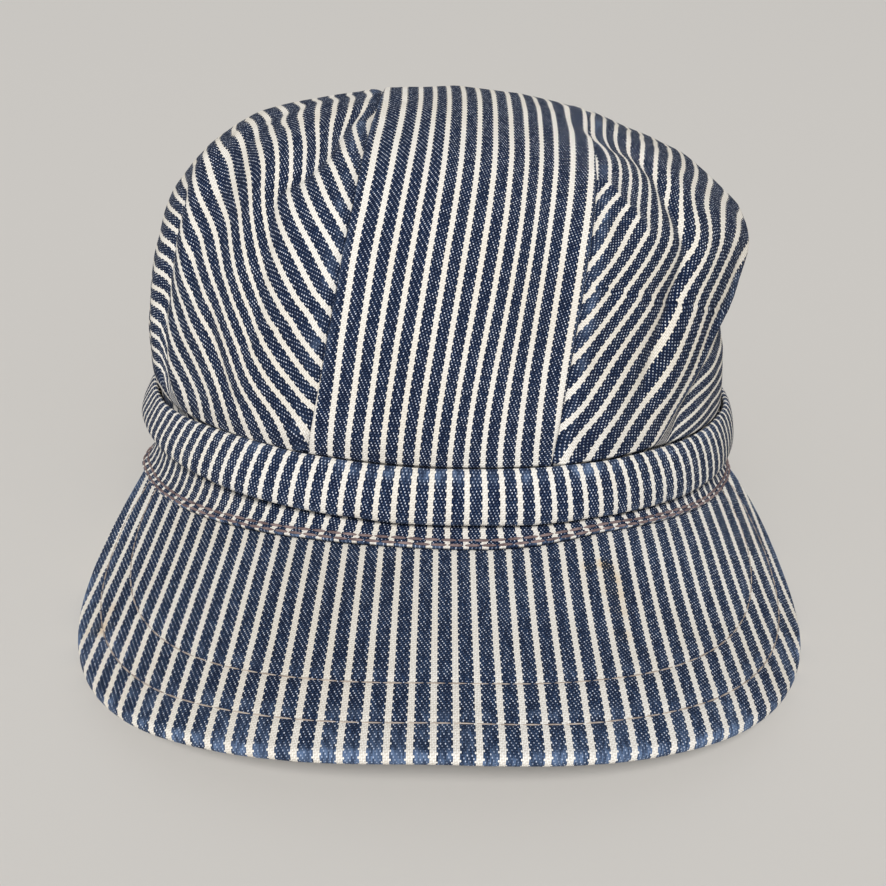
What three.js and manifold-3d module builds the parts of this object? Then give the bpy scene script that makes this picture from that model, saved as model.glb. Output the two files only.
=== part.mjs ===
// A railroad engineer cap of striped denim: a soft puffed crown of three cloths (one strip from
// front to back and a leaf-shaped cloth on each side), a narrow folded band round its foot, a rim
// strip that comes out from under the band and turns out over the visor, and a wide bent visor.
// Millimetres, +Z up, the visor towards -Y. The cap is shaped level, with z = 0 at the lower edge of
// the band, and is then tipped back until its rim and the visor's corners stand on one floor.

import * as THREE from "three";
import { mergeVertices } from "three/addons/utils/BufferGeometryUtils.js";
import Module from "manifold-3d";

const wasm = await Module();
wasm.setup();

// The band's outline at its lower edge, outside.
const bandHalfWidth = 91.6;
const bandHalfLength = 94.6;
const bandHeight = 11.7;
const bandThickness = 2.2;
// How far the band's upper edge is drawn in to the crown's seam.
const bandDrawIn = 5.0;

// The crown, measured up from the band's upper edge.
const crownHeight = 86.3;
const crownWall = 1.5;
// The crown's cloth goes down behind the band as a seam allowance.
const crownLap = 4.4;

// The strip over the crown stands a little askew: its middle line leaves the cap's own at the seam
// and crosses it towards the top.
const stripWidth = 60.0;
const stripOffset = -4.2;
const stripLean = 8.6;

// The rim strip: behind the band it goes up, at the back it ends in a hem below the band, and in
// front it turns out over the visor.
const rimWall = 2.0;
const rimDrop = 7.0;
const rimHem = 0.5;
const flangeReach = 5.5;
const flangeThickness = 1.2;

// The visor is a plate bent round an axis that points forward and down.
const visorLength = 66.5;
const visorOverhang = 4.0;
const visorThickness = 3.0;
const visorBend = 210.0;
const visorPitch = 11.1;
// The visor's upper face in front lies this far below the band.
const visorDrop = 5.5;
// Roundness of the visor's corners: 2 is an ellipse, and more is squarer.
const visorCorner = 2.35;
// The outline is turned a little against the bend: sideways shift for each millimetre ahead of a
// place this share of the visor's length.
const visorSkew = 0.085;
const visorSkewShare = 0.33;
// Where the visor is widest and where its wings end, as shares of the band's half length.
const visorWidestShare = 0.3;
const visorEndShare = 0.74;
// How far round the band the visor is sewn, and the same place on its outer edge, in degrees.
const visorSweep = 75;
const visorEdgeSweep = 108;

// Neighbouring pieces keep this gap.
const clearance = 0.3;

// Fineness of the faceted solids.
const roundSteps = 72;
const crownSteps = 15;
const visorSteps = 40;
const visorRows = 5;

const radians = THREE.MathUtils.degToRad;
const { clamp, lerp, smoothstep } = THREE.MathUtils;

// The crown's level sections, from the seam to the top. Rise is a share of crownHeight, front and
// back are shares of the seam's half length and left and right of its half width, as the wearer's
// front is seen. Square is the exponent of the section's outline.
const crownSections = [
  { rise: 0.0, front: 0.985, back: 0.985, left: 0.985, right: 0.985, square: 2.0 },
  { rise: 0.06, front: 0.985, back: 1.03, left: 1.025, right: 1.015, square: 2.0 },
  { rise: 0.16, front: 0.96, back: 1.075, left: 1.06, right: 1.045, square: 2.05 },
  { rise: 0.3, front: 0.91, back: 1.1, left: 1.075, right: 1.065, square: 2.1 },
  { rise: 0.45, front: 0.845, back: 1.1, left: 1.06, right: 1.09, square: 2.15 },
  { rise: 0.59, front: 0.77, back: 1.07, left: 1.015, right: 1.075, square: 2.2 },
  { rise: 0.7, front: 0.685, back: 1.0, left: 0.935, right: 0.975, square: 2.2 },
  { rise: 0.8, front: 0.57, back: 0.89, left: 0.825, right: 0.845, square: 2.2 },
  { rise: 0.88, front: 0.41, back: 0.72, left: 0.665, right: 0.66, square: 2.15 },
  { rise: 0.94, front: 0.25, back: 0.52, left: 0.47, right: 0.48, square: 2.1 },
  { rise: 0.98, front: 0.09, back: 0.29, left: 0.25, right: 0.27, square: 2.0 },
  { rise: 1.0, front: -0.07, back: 0.07, left: 0.0, right: 0.0, square: 2.0 },
];

// Soft folds and dents of the crown. Each row is one line on the cloth: azimuth in degrees (0 is the
// front, 90 the right) and a share of the way from seam to top, at its two ends. Wide is its half
// breadth and deep its depth, as shares of crownHeight. A ledge stands out above or left of its line
// and is sunk on the other side, and a dent is sunk on both.
const crownFolds = [
  { azimuth: -29, up: 0.26, toAzimuth: -33, toUp: 0.56, wide: 0.1, deep: 0.02, ledge: false },
  { azimuth: -35, up: 0.53, toAzimuth: -24, toUp: 0.8, wide: 0.1, deep: 0.022, ledge: false },
  { azimuth: -43, up: 0.34, toAzimuth: -62, toUp: 0.66, wide: 0.12, deep: 0.03, ledge: true },
  { azimuth: -56, up: 0.24, toAzimuth: -60, toUp: 0.54, wide: 0.1, deep: 0.02, ledge: false },
  { azimuth: -80, up: 0.04, toAzimuth: -92, toUp: 0.38, wide: 0.11, deep: 0.018, ledge: false },
  { azimuth: 34, up: 0.06, toAzimuth: 40, toUp: 0.52, wide: 0.1, deep: 0.026, ledge: false },
  { azimuth: 40, up: 0.48, toAzimuth: 48, toUp: 0.78, wide: 0.11, deep: 0.024, ledge: false },
  { azimuth: 40, up: 0.02, toAzimuth: 58, toUp: 0.3, wide: 0.1, deep: 0.028, ledge: false },
  { azimuth: 88, up: 0.02, toAzimuth: 82, toUp: 0.3, wide: 0.12, deep: 0.026, ledge: false },
  { azimuth: 118, up: 0.05, toAzimuth: 126, toUp: 0.4, wide: 0.12, deep: 0.018, ledge: false },
  { azimuth: 160, up: 0.06, toAzimuth: 150, toUp: 0.36, wide: 0.12, deep: 0.016, ledge: false },
  { azimuth: -158, up: 0.04, toAzimuth: -166, toUp: 0.34, wide: 0.12, deep: 0.018, ledge: false },
  { azimuth: -122, up: 0.08, toAzimuth: -132, toUp: 0.44, wide: 0.12, deep: 0.02, ledge: false },
];

// Half width and half length of the crown's seam.
const seamHalfWidth = bandHalfWidth - bandDrawIn;
const seamHalfLength = bandHalfLength - bandDrawIn;

// Catmull-Rom reading of one column of the section table at share v of the way up.
function column(name, v) {
  const last = crownSections.length - 1;
  const place = clamp(v, 0, 1) * last;
  const i = Math.min(Math.floor(place), last - 1);
  const t = place - i;
  const at = (k) => crownSections[clamp(k, 0, last)][name];
  const [p0, p1, p2, p3] = [at(i - 1), at(i), at(i + 1), at(i + 2)];
  return (
    p1 +
    0.5 * t * (p2 - p0 + t * (2 * p0 - 5 * p1 + 4 * p2 - p3 + t * (3 * (p1 - p2) + p3 - p0)))
  );
}

// A power that keeps its base's sign, for squarish outlines.
const signedPower = (value, power) => Math.sign(value) * Math.abs(value) ** power;

// How far the folds move the crown's cloth along its normal.
function foldShift(azimuth, v) {
  // Millimetres for a degree round the crown, and for the whole way up its face.
  const perDegree = radians((seamHalfWidth + seamHalfLength) / 2);
  const wayUp = Math.hypot(crownHeight, seamHalfLength);
  const turnFrom = (start, end) => ((end - start + 540) % 360) - 180;
  let shift = 0;
  for (const fold of crownFolds) {
    const runX = turnFrom(fold.azimuth, fold.toAzimuth) * perDegree;
    const runY = (fold.toUp - fold.up) * wayUp;
    const x = turnFrom(fold.azimuth, azimuth) * perDegree;
    const y = (v - fold.up) * wayUp;
    const length = Math.hypot(runX, runY);
    const along = (x * runX + y * runY) / length ** 2;
    const across = (x * runY - y * runX) / length / (fold.wide * crownHeight);
    const past = (Math.max(0, -along, along - 1) * length) / (fold.wide * crownHeight);
    const ends = 0.35 + 0.65 * Math.sin(Math.PI * clamp(along, 0, 1));
    const bell = Math.exp(-across * across - past * past);
    shift -= fold.deep * crownHeight * ends * bell * (fold.ledge ? 2 * across : 1);
  }
  return shift;
}

// The crown's outer face without its folds.
function crownBase(azimuth, v) {
  const turn = radians(azimuth);
  const power = 2 / column("square", v);
  const middle = (one, other) => (column(one, v) + column(other, v)) / 2;
  const centre = (one, other) => (column(other, v) - column(one, v)) / 2;
  const x = centre("left", "right") + middle("left", "right") * signedPower(Math.sin(turn), power);
  const y = centre("front", "back") - middle("front", "back") * signedPower(Math.cos(turn), power);
  return new THREE.Vector3(
    x * seamHalfWidth,
    y * seamHalfLength,
    bandHeight + clearance + column("rise", v) * crownHeight,
  );
}

// Outward normal of the crown, from two small steps on its face.
function crownNormal(azimuth, v) {
  const step = 0.004;
  const low = clamp(v - step, 0, 1 - 2 * step);
  const up = crownBase(azimuth, low + 2 * step).sub(crownBase(azimuth, low));
  const round = crownBase(azimuth + 1, low).sub(crownBase(azimuth - 1, low));
  return round.cross(up).normalize();
}

// A point of the crown at a depth under its outer face.
function crownPoint(azimuth, v, depth) {
  const normal = crownNormal(azimuth, v);
  return crownBase(azimuth, v).addScaledVector(normal, foldShift(azimuth, v) - depth);
}

// How far the band's outer face stands inside its lower edge, at height z.
const bandFace = (z) => -bandDrawIn * clamp(z / bandHeight, 0, 1) ** 2;

// A point on a ring round the head, grown outward from the band's lower edge.
function ringPoint(azimuth, grow, z) {
  const turn = radians(azimuth);
  return new THREE.Vector3(
    (bandHalfWidth + grow) * Math.sin(turn),
    -(bandHalfLength + grow) * Math.cos(turn),
    z,
  );
}

// A point of the visor: side along its bend, ahead from the band's front, lift above its upper face.
function visorPoint(side, ahead, lift) {
  const bend = side / visorBend;
  const pitch = radians(visorPitch);
  const forward = new THREE.Vector3(0, -Math.cos(pitch), -Math.sin(pitch));
  const upward = new THREE.Vector3(0, -Math.sin(pitch), Math.cos(pitch));
  return new THREE.Vector3(0, -bandHalfLength, -visorDrop)
    .addScaledVector(new THREE.Vector3(1, 0, 0), (visorBend + lift) * Math.sin(bend))
    .addScaledVector(upward, (visorBend + lift) * Math.cos(bend) - visorBend)
    .addScaledVector(forward, ahead);
}

// The visor's own place, side and ahead, straight below or above a point seen from the top.
function visorPlace(x, y) {
  const side = visorBend * Math.asin(clamp(x / visorBend, -1, 1));
  const drop = visorBend * (1 - Math.cos(side / visorBend));
  const pitch = radians(visorPitch);
  const ahead = (drop * Math.sin(pitch) - bandHalfLength - y) / Math.cos(pitch);
  return { side, ahead };
}

// Height of the visor's upper face below a point seen from the top.
function visorHeight(x, y) {
  const { side, ahead } = visorPlace(x, y);
  return visorPoint(side, ahead, 0).z;
}

// The visor's outer edge, at a share from -1 (left wing) to 1 (right wing).
function visorEdge(share) {
  const turn = radians(visorEdgeSweep) * share;
  const power = 2 / visorCorner;
  const halfWidth = bandHalfWidth + visorOverhang;
  const widest = -visorWidestShare * bandHalfLength;
  const endTurn = Math.abs(Math.cos(radians(visorEdgeSweep))) ** power;
  const backReach = ((visorEndShare - visorWidestShare) * bandHalfLength) / endTurn;
  const reach = Math.cos(turn) > 0 ? visorLength - widest : backReach;
  const ahead = widest + reach * signedPower(Math.cos(turn), power);
  const fade = 1 - share ** 4;
  const skew = visorSkew * (ahead - visorSkewShare * visorLength) * fade;
  return { side: halfWidth * signedPower(Math.sin(turn), power) - skew, ahead };
}

// A closed solid from loops of equal length: each loop is joined to the next, and the first and
// last are closed by a fan, or joined to each other when the solid is a ring.
function solidFromLoops(loops, ring) {
  const positions = [];
  const triangle = (...corners) => corners.forEach((p) => positions.push(p.x, p.y, p.z));
  const count = loops[0].length;
  const pairs = ring ? loops.length : loops.length - 1;
  for (let i = 0; i < pairs; i++) {
    const one = loops[i];
    const next = loops[(i + 1) % loops.length];
    for (let k = 0; k < count; k++) {
      const m = (k + 1) % count;
      triangle(one[k], one[m], next[m]);
      triangle(one[k], next[m], next[k]);
    }
  }
  if (!ring) {
    const first = loops[0];
    const last = loops[loops.length - 1];
    for (let k = 0; k < count; k++) {
      const m = (k + 1) % count;
      triangle(middleOf(first), first[m], first[k]);
      triangle(middleOf(last), last[k], last[m]);
    }
  }
  return tidyGeometry(positions);
}

function middleOf(points) {
  return points
    .reduce((sum, p) => sum.add(p), new THREE.Vector3())
    .divideScalar(points.length);
}

// Merges the corners of loose triangles and leaves out those that have no area.
function tidyGeometry(positions) {
  const loose = new THREE.BufferGeometry();
  loose.setAttribute("position", new THREE.Float32BufferAttribute(positions, 3));
  const merged = mergeVertices(loose, 1e-4);
  const index = merged.index.array;
  const kept = [];
  for (let i = 0; i < index.length; i += 3) {
    const [a, b, c] = [index[i], index[i + 1], index[i + 2]];
    if (a !== b && b !== c && c !== a) kept.push(a, b, c);
  }
  merged.setIndex(kept);
  return merged;
}

// Between a three.js geometry and a manifold-3d solid.
function toSolid(geometry) {
  const bare = geometry.clone();
  bare.deleteAttribute("normal");
  bare.deleteAttribute("uv");
  const merged = mergeVertices(bare, 1e-4);
  return new wasm.Manifold(
    new wasm.Mesh({
      numProp: 3,
      vertProperties: new Float32Array(merged.attributes.position.array),
      triVerts: new Uint32Array(merged.index.array),
    }),
  );
}

function toGeometry(solid) {
  const mesh = solid.getMesh();
  const geometry = new THREE.BufferGeometry();
  geometry.setAttribute("position", new THREE.BufferAttribute(mesh.vertProperties, 3));
  geometry.setIndex(new THREE.BufferAttribute(mesh.triVerts, 1));
  return geometry;
}

// Azimuths of the steps round the cap.
const azimuths = Array.from({ length: roundSteps }, (_, k) => (k * 360) / roundSteps);

// The whole crown as one hollow shell, open below.
function crownShell() {
  const loops = [];
  const lapFace = (z, depth) =>
    azimuths.map((a) => ringPoint(a, bandFace(z) - bandThickness - clearance - depth, z));
  const lapBottom = bandHeight - crownLap;
  const shares = Array.from({ length: crownSteps + 1 }, (_, i) => i / crownSteps);
  const face = (depth) => shares.map((v) => azimuths.map((a) => crownPoint(a, v, depth)));
  loops.push(...face(crownWall).reverse());
  loops.push(lapFace(bandHeight, crownWall), lapFace(lapBottom, crownWall));
  loops.push(lapFace(lapBottom, 0), lapFace(bandHeight, 0));
  loops.push(...face(0));
  // The top of each face is one point.
  for (const loop of [loops[0], loops[loops.length - 1]]) {
    const tip = middleOf(loop);
    loop.forEach((p) => p.copy(tip));
  }
  return toSolid(solidFromLoops(loops, false));
}

// A slab wide across the strip, from one side of the crown to the other, to cut the strip out.
function stripSlab(width) {
  const reach = 4 * (bandHalfLength + crownHeight);
  const slab = new THREE.BoxGeometry(width, reach, reach);
  slab.rotateY(radians(stripLean));
  slab.translate(stripOffset, 0, bandHeight);
  return toSolid(slab);
}

// Everything on one side of the strip: -1 is the left, 1 the right.
function besideStrip(side, width) {
  const reach = 4 * (bandHalfLength + crownHeight);
  const block = new THREE.BoxGeometry(reach, reach, reach);
  block.translate((side * (reach + width)) / 2, 0, 0);
  block.rotateY(radians(stripLean));
  block.translate(stripOffset, 0, bandHeight);
  return toSolid(block);
}

// The folded band round the crown's foot.
function bandGeometry() {
  const heights = [0.0, 0.1, 0.4, 0.7, 0.9, 1.0].map((share) => share * bandHeight);
  const softEdge = bandThickness / 4;
  const outer = heights.map((z, i) => {
    const edge = i === 0 || i === heights.length - 1 ? softEdge : 0;
    return azimuths.map((a) => ringPoint(a, bandFace(z) - edge, z));
  });
  const inner = heights.map((z) => azimuths.map((a) => ringPoint(a, bandFace(z) - bandThickness, z)));
  return solidFromLoops([...outer, ...inner.reverse()], true);
}

// How far an azimuth is from the front, in degrees.
const fromFront = (azimuth) => Math.abs(((azimuth + 180) % 360) - 180);

// Over the visor the rim strip is a flange: 1 in front, 0 behind the visor's wings.
const overVisor = (azimuth) => 1 - smoothstep(fromFront(azimuth), visorSweep - 4, visorSweep + 6);

// Height of the rim strip's lower face, above the visor in front and at its hem behind.
function rimFoot(azimuth, grow) {
  const p = ringPoint(azimuth, grow, 0);
  const past = smoothstep(fromFront(azimuth), visorSweep + 5, visorSweep + 30);
  return lerp(visorHeight(p.x, p.y) + clearance, -rimDrop, past);
}

// The rim strip: a wall behind the band, with a flange over the visor or a hem.
function rimGeometry() {
  const outside = -bandThickness - clearance;
  const top = bandHeight - crownLap - clearance;
  const loops = azimuths.map((a) => {
    const reach = lerp(rimHem, flangeReach, overVisor(a));
    const foot = (grow) => rimFoot(a, grow);
    const flare = foot(outside + reach * 0.5) + flangeThickness * 1.7;
    const profile = [
      [outside - rimWall + bandFace(top), top],
      [outside + bandFace(top), top],
      [outside, 0],
      [outside + reach * 0.12, -clearance - (-clearance - flare) * 0.4],
      [outside + reach * 0.5, flare],
      [outside + reach, foot(outside + reach) + flangeThickness * 0.8],
      [outside + reach, foot(outside + reach)],
      [outside + reach * 0.5, foot(outside + reach * 0.5)],
      [outside, foot(outside)],
      [outside - rimWall, foot(outside - rimWall)],
      [outside - rimWall, 0],
    ];
    return profile.map(([grow, z]) => ringPoint(a, grow, z));
  });
  return solidFromLoops(loops, true);
}

// The bent visor: its inner edge lies under the rim strip, its outer edge is the wide outline.
function visorGeometry() {
  const inside = -bandThickness - clearance - rimWall;
  const shares = Array.from({ length: visorSteps + 1 }, (_, i) => (2 * i) / visorSteps - 1);
  const softEdge = visorThickness / 3;
  const loops = shares.map((share) => {
    const sewn = ringPoint(share * visorSweep, inside, 0);
    const root = visorPlace(sewn.x, sewn.y);
    const edge = visorEdge(share);
    const place = (out, back, lift) => {
      const run = Math.hypot(edge.side - root.side, edge.ahead - root.ahead);
      const t = out - back / run;
      return visorPoint(lerp(root.side, edge.side, t), lerp(root.ahead, edge.ahead, t), lift);
    };
    const steps = Array.from({ length: visorRows + 1 }, (_, i) => i / visorRows);
    const above = steps.map((t) => place(t, t === 1 ? softEdge : 0, 0));
    const rim = place(1, 0, -visorThickness / 2);
    const below = steps.map((t) => place(t, t === 1 ? softEdge : 0, -visorThickness)).reverse();
    return [...above, rim, ...below];
  });
  return solidFromLoops(loops, false);
}

// The tip back, in degrees, at which the visor in front and the rim behind reach the same floor.
function restingTilt(meshes) {
  const points = meshes.flatMap((mesh) => {
    const place = mesh.geometry.attributes.position;
    return Array.from({ length: place.count }, (_, i) => [place.getY(i), place.getZ(i)]);
  });
  const lowest = (tilt, front) =>
    Math.min(
      ...points
        .filter(([y]) => y < 0 === front)
        .map(([y, z]) => z * Math.cos(radians(tilt)) - y * Math.sin(radians(tilt))),
    );
  let [low, high] = [-30, 30];
  for (let i = 0; i < 40; i++) {
    const middle = (low + high) / 2;
    if (lowest(middle, true) < lowest(middle, false)) low = middle;
    else high = middle;
  }
  return (low + high) / 2;
}

// Materials: the striped cloth shows as its mean colour here.
const denim = new THREE.MeshStandardMaterial({ color: 0x5b6a86, roughness: 0.95, metalness: 0 });
const bandDenim = new THREE.MeshStandardMaterial({ color: 0x5f6e8a, roughness: 0.95, metalness: 0 });
const visorDenim = new THREE.MeshStandardMaterial({ color: 0x64728c, roughness: 0.95, metalness: 0 });

function namedMesh(name, geometry, material) {
  const mesh = new THREE.Mesh(geometry, material);
  mesh.name = name;
  return mesh;
}

const shell = crownShell();
const strip = shell.intersect(stripSlab(stripWidth - clearance));
const leftSide = shell.intersect(besideStrip(-1, stripWidth + clearance));
const rightSide = shell.intersect(besideStrip(1, stripWidth + clearance));

const meshes = [
  namedMesh("crown_centre_strip", toGeometry(strip), denim),
  namedMesh("crown_side_left", toGeometry(leftSide), denim),
  namedMesh("crown_side_right", toGeometry(rightSide), denim),
  namedMesh("band", bandGeometry(), bandDenim),
  namedMesh("rim_strip", rimGeometry(), bandDenim),
  namedMesh("visor", visorGeometry(), visorDenim),
];

// The level cap, tipped back to its rest and set with its box on the origin.
const level = new THREE.Group();
level.add(...meshes);
level.rotation.x = -radians(restingTilt(meshes));
const cap = new THREE.Group();
cap.add(level);
cap.updateMatrixWorld(true);
const box = new THREE.Box3().setFromObject(cap, true);
const centre = box.getCenter(new THREE.Vector3());
level.position.set(-centre.x, -centre.y, -box.min.z);

export default cap;
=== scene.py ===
"""A railroad engineer cap of striped denim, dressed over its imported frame.

Forms are worked out in millimetres in the level cap's own frame, with z = 0 at the band's lower
edge, the visor towards -Y and azimuth 0 at the front and 90 at the right. They are then set down
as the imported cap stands, tipped back on its rim and the visor's corners.
"""

import math

import bmesh
import bpy
import numpy as np
from mathutils import Matrix, Vector, noise


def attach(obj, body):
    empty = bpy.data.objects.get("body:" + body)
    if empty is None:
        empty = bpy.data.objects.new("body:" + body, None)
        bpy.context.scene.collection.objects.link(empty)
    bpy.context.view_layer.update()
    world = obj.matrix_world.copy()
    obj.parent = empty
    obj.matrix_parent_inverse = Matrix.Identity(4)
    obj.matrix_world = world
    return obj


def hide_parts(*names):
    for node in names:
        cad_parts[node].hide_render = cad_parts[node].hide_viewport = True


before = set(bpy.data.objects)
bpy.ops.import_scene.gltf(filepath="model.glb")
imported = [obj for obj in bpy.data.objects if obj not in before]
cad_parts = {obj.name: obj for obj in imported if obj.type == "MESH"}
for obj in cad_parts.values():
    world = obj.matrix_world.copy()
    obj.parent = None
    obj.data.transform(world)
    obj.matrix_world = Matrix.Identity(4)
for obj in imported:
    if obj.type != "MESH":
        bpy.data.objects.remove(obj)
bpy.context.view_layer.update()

# The level cap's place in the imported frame: its tip back and its shift.
REST_TILT = math.radians(6.7136)
REST_SHIFT = np.array((-1.049, 28.539, 17.777))
METRE = 0.001

# The camera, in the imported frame: where it stands, how it looks and its lens for a 36 mm sensor.
CAMERA_PLACE = (-0.00698, -0.27037, 0.15224)
CAMERA_LOOK = (0.0205, 0.8953, -0.4450)
CAMERA_ROLL = math.radians(2.786)
CAMERA_LENS = 40.68

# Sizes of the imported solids: lengths in millimetres and sweeps in degrees.
BAND_HALF_WIDTH = 91.6
BAND_HALF_LENGTH = 94.6
BAND_HEIGHT = 11.7
BAND_THICKNESS = 2.2
BAND_DRAW_IN = 5.0
CROWN_HEIGHT = 86.3
CROWN_LAP = 4.4
STRIP_HALF = 30.0
STRIP_OFFSET = -4.2
STRIP_LEAN = math.radians(8.6)
RIM_WALL = 2.0
RIM_DROP = 7.0
RIM_HEM = 0.5
FLANGE_REACH = 5.5
FLANGE_THICKNESS = 1.2
VISOR_LENGTH = 66.5
VISOR_OVERHANG = 4.0
VISOR_ROLL = 1.1
VISOR_THICKNESS = 3.0
VISOR_BEND = 210.0
VISOR_PITCH = math.radians(11.1)
VISOR_DROP = 5.5
VISOR_CORNER = 2.35
VISOR_SKEW = 0.085
VISOR_SKEW_SHARE = 0.33
VISOR_WIDEST_SHARE = 0.3
VISOR_END_SHARE = 0.74
VISOR_SWEEP = 75.0
VISOR_EDGE_SWEEP = 108.0
CLEARANCE = 0.3
SEAM_HALF_WIDTH = BAND_HALF_WIDTH - BAND_DRAW_IN
SEAM_HALF_LENGTH = BAND_HALF_LENGTH - BAND_DRAW_IN

# How much higher the visor's right half stands by its root than in the solids, and how far out
# from the band that fades, in millimetres.
VISOR_RAISE = 3.2
VISOR_RAISE_FADE = 17.0

# The cloth: one navy and one white stripe together, and its thickness.
STRIPE = 4.355
CLOTH = 1.0

# Level sections of the crown: rise, front, back, left, right, squareness.
SECTION_COLUMNS = ("rise", "front", "back", "left", "right", "square")
CROWN_SECTIONS = np.array((
    (0.0, 0.985, 0.985, 1.027, 1.006, 2.0),
    (0.06, 0.985, 1.03, 1.055, 1.02, 2.0),
    (0.16, 0.96, 1.075, 1.06, 1.03, 2.05),
    (0.3, 0.91, 1.1, 1.055, 1.035, 2.1),
    (0.45, 0.845, 1.1, 1.035, 1.055, 2.15),
    (0.59, 0.77, 1.07, 0.99, 1.06, 2.2),
    (0.7, 0.685, 1.0, 0.915, 0.96, 2.2),
    (0.8, 0.57, 0.89, 0.82, 0.825, 2.2),
    (0.88, 0.41, 0.72, 0.695, 0.635, 2.15),
    (0.94, 0.25, 0.52, 0.47, 0.455, 2.1),
    (0.98, 0.09, 0.29, 0.21, 0.25, 2.0),
    (1.0, -0.07, 0.07, 0.0, 0.0, 2.0),
))

# Broad folds, as in the solids: from azimuth and share up to azimuth and share up, half breadth
# and depth in millimetres, and whether the fold is a ledge.
BROAD_FOLDS = (
    (-29, 0.26, -33, 0.56, 8.6, 1.7, False),
    (-35, 0.53, -24, 0.8, 8.6, 1.9, False),
    (-43, 0.34, -62, 0.66, 10.4, 2.6, True),
    (-56, 0.24, -60, 0.54, 8.6, 1.7, False),
    (-80, 0.04, -92, 0.38, 9.5, 1.6, False),
    (34, 0.06, 40, 0.52, 8.6, 2.2, False),
    (40, 0.48, 48, 0.78, 9.5, 2.1, False),
    (40, 0.02, 58, 0.3, 8.6, 2.4, False),
    (88, 0.02, 82, 0.3, 10.4, 2.2, False),
    (118, 0.05, 126, 0.4, 10.4, 1.6, False),
    (160, 0.06, 150, 0.36, 10.4, 1.4, False),
    (-158, 0.04, -166, 0.34, 10.4, 1.6, False),
    (-122, 0.08, -132, 0.44, 10.4, 1.7, False),
)

# Sharp creases of the cloth: points of azimuth and share up, half breadth and depth in
# millimetres, how far the cloth on the line's left stands over the cloth on its right, and how many
# stripes the pattern bends by at the line.
CREASES = (
    (((-33, 0.84), (-26, 0.72), (-26, 0.63), (-30, 0.58), (-34, 0.55), (-34, 0.51), (-32, 0.43),
      (-30, 0.33)), 2.4, 1.3, 0.5, 0.45),
    (((-84, 0.68), (-66, 0.64), (-60, 0.6), (-55, 0.56), (-52, 0.52), (-50, 0.47)),
     2.6, 1.3, -0.9, 0.3),
    (((-66, 0.5), (-61, 0.46), (-60, 0.4), (-60, 0.32), (-59, 0.22), (-58, 0.12), (-55, 0.0)),
     3.0, 2.8, 0.4, 0.0),
    (((-51, 0.45), (-49, 0.4), (-48, 0.36), (-45, 0.31)), 2.2, 0.9, -0.6, 0.0),
    (((-42, 0.31), (-40, 0.25), (-37, 0.17), (-34, 0.11)), 2.2, 0.8, 0.3, 0.0),
    (((-38, 0.5), (-35, 0.44), (-32, 0.36), (-31, 0.31), (-33, 0.24), (-35, 0.15)),
     3.0, 0.8, 0.4, 0.3),
    (((57, 0.74), (49, 0.67), (45, 0.61), (42, 0.54), (40, 0.48), (40, 0.42), (38, 0.32),
      (36, 0.24), (34, 0.18)), 2.4, 1.4, 0.6, 0.0),
    (((24, 0.64), (27, 0.57), (29, 0.5), (30, 0.45)), 2.4, -0.7, 0.0, 0.45),
)

# How far from a crease its bend of the pattern reaches, in millimetres.
BEND_REACH = 6

# One fold in each side whose inside can't be seen: shares up, and at each the fold's azimuth, how
# many stripes it swallows, and how far in millimetres the cloth beyond it sinks in.
FOLD_SHARES = (0.0, 0.125, 0.2, 0.25, 0.3, 0.375, 0.45, 0.5)
LEFT_FOLD = (
    (55.5, 58.0, 59.0, 59.0, 59.5, 60.5, 61.0, 62.0),
    (5.5, 4.8, 3.4, 2.4, 1.5, 0.5, 0.1, 0.0),
    (0.0, 0.0, 0.0, 0.0, 0.0, 0.0, 0.0, 0.0),
)
RIGHT_FOLD = (
    (41.0, 46.5, 51.5, 55.5, 58.5, 62.0, 66.0, 70.0),
    (6.0, 3.6, 1.8, 0.8, 0.3, 0.0, 0.0, 0.0),
    (0.0, 1.5, 2.6, 4.2, 5.2, 4.0, 1.6, 0.0),
)

# Stripe numbers of the side cloths. Rows are shares up in eighths, columns are from 20 to 90
# degrees round from the front in tens.
LEFT_STRIPES = np.array((
    (0.3, -2.2, -4.6, -7.0, -8.6, -9.3, -9.6, -9.7),
    (0.6, -1.75, -4.55, -7.0, -8.4, -8.7, -8.8, -8.8),
    (2.9, 0.5, -2.8, -4.9, -6.8, -7.1, -7.1, -7.1),
    (5.7, 3.15, 0.3, -2.25, -4.4, -4.7, -4.8, -4.8),
    (8.3, 5.65, 2.7, 0.95, -0.55, -1.1, -1.2, -1.2),
    (10.3, 7.5, 4.95, 3.5, 2.4, 2.0, 1.8, 1.8),
    (12.5, 9.85, 8.2, 6.95, 6.0, 5.7, 5.6, 5.6),
    (15.6, 14.0, 12.9, 12.1, 11.7, 11.4, 11.1, 11.0),
    (17.5, 17.5, 17.5, 17.5, 17.5, 17.5, 17.5, 17.5),
))
RIGHT_STRIPES = np.array((
    (-0.1, -2.2, -4.05, -5.8, -7.0, -7.6, -7.8, -7.9),
    (0.7, -1.4, -3.3, -5.0, -6.3, -6.8, -7.0, -7.0),
    (2.6, 0.1, -1.6, -3.8, -5.3, -6.3, -6.9, -7.1),
    (4.95, 2.05, -0.35, -2.75, -4.1, -4.8, -5.0, -5.0),
    (7.45, 4.4, 1.6, -1.05, -2.25, -2.6, -2.6, -2.6),
    (11.2, 8.5, 5.4, 2.7, 1.45, 0.7, 0.4, 0.3),
    (14.5, 12.4, 10.4, 8.3, 6.9, 6.3, 5.9, 5.8),
    (17.0, 15.9, 14.8, 13.6, 12.6, 11.9, 11.5, 11.4),
    (18.0, 18.0, 18.0, 18.0, 18.0, 18.0, 18.0, 18.0),
))
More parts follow.
